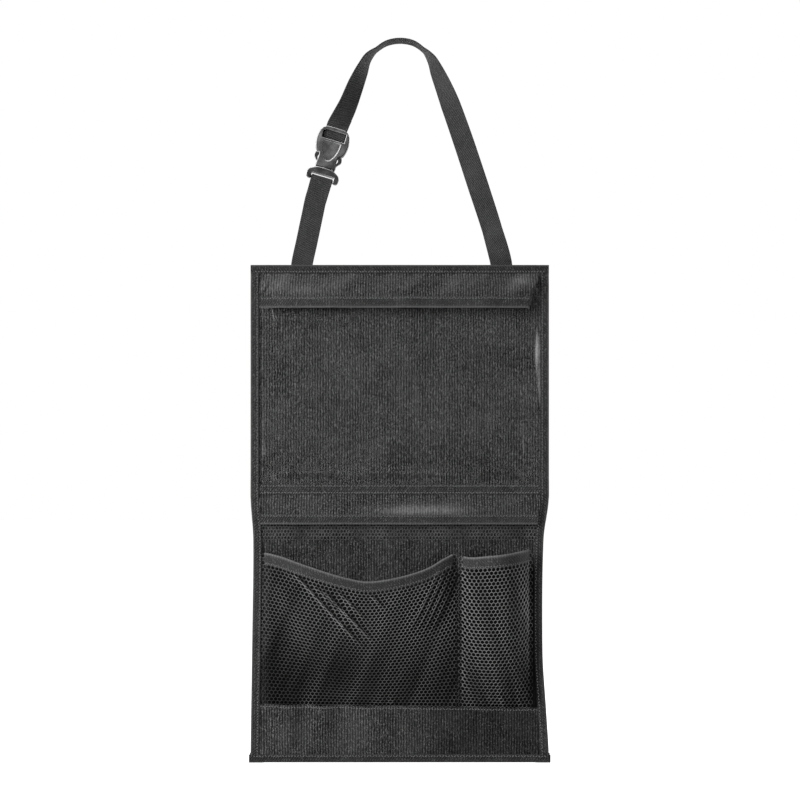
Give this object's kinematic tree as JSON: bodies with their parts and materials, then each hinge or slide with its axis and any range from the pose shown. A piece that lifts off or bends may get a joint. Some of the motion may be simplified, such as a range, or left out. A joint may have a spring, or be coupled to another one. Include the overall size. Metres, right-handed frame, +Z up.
{
  "type": "car seat back organizer",
  "caption": "Bound cloth panel with a clear window pocket under a flap, a short flap, net pockets, and a hanging strap with a side release buckle.",
  "frame": {"origin": "middle of the back panel's rear face", "axes": "+X to the right as seen from the pockets, +Y out of the rear face towards the seat, +Z up to the strap"},
  "size_m": [0.3024, 0.057, 0.7277],
  "materials": {
    "cloth": "matt ribbed woven polyester",
    "tape": "matt woven binding tape",
    "net": "knitted polyester mesh",
    "film": "clear soft vinyl film",
    "webbing": "woven twill webbing",
    "plastic": "satin moulded acetal",
    "closure": "hook and loop tape"
  },
  "bodies": {
    "root": {"back_panel": "cloth", "left_binding": "tape", "right_binding": "tape", "top_binding": "tape", "bottom_binding": "tape", "window_flap": "cloth", "window_flap_tape": "tape", "closure_hook_tape": "closure", "closure_loop_tape": "closure", "window_film": "film", "window_mouth_tape": "tape", "window_bottom_tape": "tape", "lower_flap": "cloth", "lower_flap_tape": "tape", "net_band": "net", "wide_pocket_net": "net", "wide_pocket_tape": "tape", "narrow_pocket_net": "net", "narrow_pocket_tape": "tape", "pocket_base": "cloth", "strap_short": "webbing", "strap_long": "webbing", "buckle_plug": "plastic", "buckle_socket": "plastic"}
  },
  "joints": []
}
